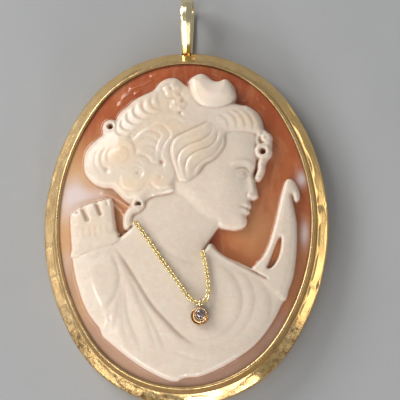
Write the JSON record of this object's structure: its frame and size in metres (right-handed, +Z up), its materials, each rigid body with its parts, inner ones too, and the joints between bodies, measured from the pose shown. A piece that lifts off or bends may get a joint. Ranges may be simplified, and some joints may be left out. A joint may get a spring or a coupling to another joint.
{
  "type": "cameo pendant",
  "caption": "Oval carved shell cameo of a classical huntress bust in a polished gold frame with a folding bail, a fine gold chain and a small drop with a clear stone.",
  "frame": {"origin": "on the surface that the cameo lies on, under the middle of the whole part", "axes": "+Z up out of the carved face, +Y towards the bail, +X towards the side that the carved face looks to"},
  "size_m": [0.0336, 0.049, 0.008],
  "materials": {
    "gold": "polished yellow gold",
    "shell": "polished sardonyx shell, white layer carved over orange brown",
    "diamond": "cut and polished"
  },
  "bodies": {
    "cameo": {"frame": "gold", "shell": "shell", "chain": "gold", "chain_eye_left": "gold", "chain_eye_right": "gold", "drop_setting": "gold", "diamond": "diamond"},
    "bail": {"bail": "gold"}
  },
  "joints": [
    {"name": "bail_hinge", "type": "hinge", "parent": "cameo", "child": "bail", "pos_m": [-0.0003, 0.01713, 0.0009], "axis": [1, 0, 0], "range_deg": [-90, 5]}
  ]
}
